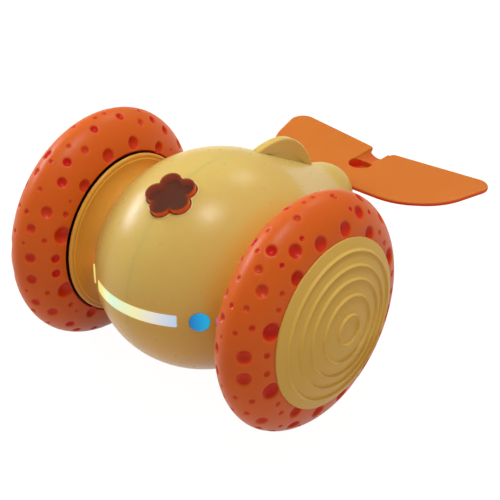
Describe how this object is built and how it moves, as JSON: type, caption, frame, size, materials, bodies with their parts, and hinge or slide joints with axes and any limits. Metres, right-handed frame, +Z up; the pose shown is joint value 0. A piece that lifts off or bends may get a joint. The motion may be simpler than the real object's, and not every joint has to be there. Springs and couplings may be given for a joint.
{
  "type": "automatic cat toy",
  "caption": "Self-rolling cat toy: a ball body slung between dimpled rubber wheels, with a flower push button, a front light strip, a dorsal fin and a fluke tail with a lure hole.",
  "frame": {"origin": "on the floor, under the middle of the toy's footprint", "axes": "+X is the toy's right, along the wheel axis; -Y is the front, with the light strip; +Y is the tail; +Z is up"},
  "size_m": [0.1064, 0.127, 0.07],
  "materials": {
    "shell_plastic": "satin moulded plastic, warm sand yellow",
    "fin_plastic": "satin moulded plastic, warm sand yellow",
    "tail_rubber": "soft orange rubber, satin",
    "strip_lens": "milky lens, yellow to mint to pale blue",
    "yellow_lens": "milky yellow lens",
    "orange_lens": "milky orange lens",
    "blue_lens": "glossy blue lens",
    "violet_lens": "glossy violet lens",
    "switch_plastic": "matt black",
    "board_laminate": "green circuit board",
    "led_laminate": "white circuit board",
    "socket_steel": "folded steel",
    "battery_case": "drawn aluminium can",
    "weight_steel": "bare steel",
    "frame_plastic": "matt white",
    "motor_steel": "bare steel can",
    "gearbox_brass": "brass plates and gears",
    "bush_brass": "sintered bronze",
    "flower_plastic": "clear dark red-brown plastic",
    "tyre_rubber": "soft orange-red rubber with dimples",
    "rim_plastic": "matt black",
    "cap_plastic": "satin ochre plastic",
    "shaft_steel": "ground steel"
  },
  "bodies": {
    "body": {"left_shell": "shell_plastic", "right_shell": "shell_plastic", "dorsal_fin": "fin_plastic", "tail_paddle": "tail_rubber", "light_strip": "strip_lens", "left_inner_light": "yellow_lens", "left_outer_light": "orange_lens", "right_inner_light": "blue_lens", "right_outer_light": "violet_lens", "button_switch": "switch_plastic", "main_board": "board_laminate", "led_board": "led_laminate", "charge_board": "board_laminate", "usb_socket": "socket_steel", "battery": "battery_case", "counterweight": "weight_steel", "chassis": "frame_plastic", "motor_bridge": "frame_plastic", "left_motor": "motor_steel", "right_motor": "motor_steel", "left_gearbox": "gearbox_brass", "right_gearbox": "gearbox_brass", "left_bush": "bush_brass", "right_bush": "bush_brass"},
    "left_wheel": {"left_tyre": "tyre_rubber", "left_rim": "rim_plastic", "left_wheel_cap": "cap_plastic", "left_output_shaft": "shaft_steel"},
    "right_wheel": {"right_tyre": "tyre_rubber", "right_rim": "rim_plastic", "right_wheel_cap": "cap_plastic", "right_output_shaft": "shaft_steel"},
    "button": {"flower_button": "flower_plastic"}
  },
  "joints": [
    {"name": "left_wheel_spin", "type": "hinge", "parent": "body", "child": "left_wheel", "pos_m": [-0.0389, -0.02847, 0.035], "axis": [1, 0, 0], "continuous": true},
    {"name": "right_wheel_spin", "type": "hinge", "parent": "body", "child": "right_wheel", "pos_m": [0.0389, -0.02847, 0.035], "axis": [1, 0, 0], "continuous": true},
    {"name": "flower_button_press", "type": "slide", "parent": "body", "child": "button", "axis": [0, 0.4219, -0.9066], "range_m": [0, 0.0006], "stiffness_N_per_m": 800, "springref_m": -0.0003}
  ]
}
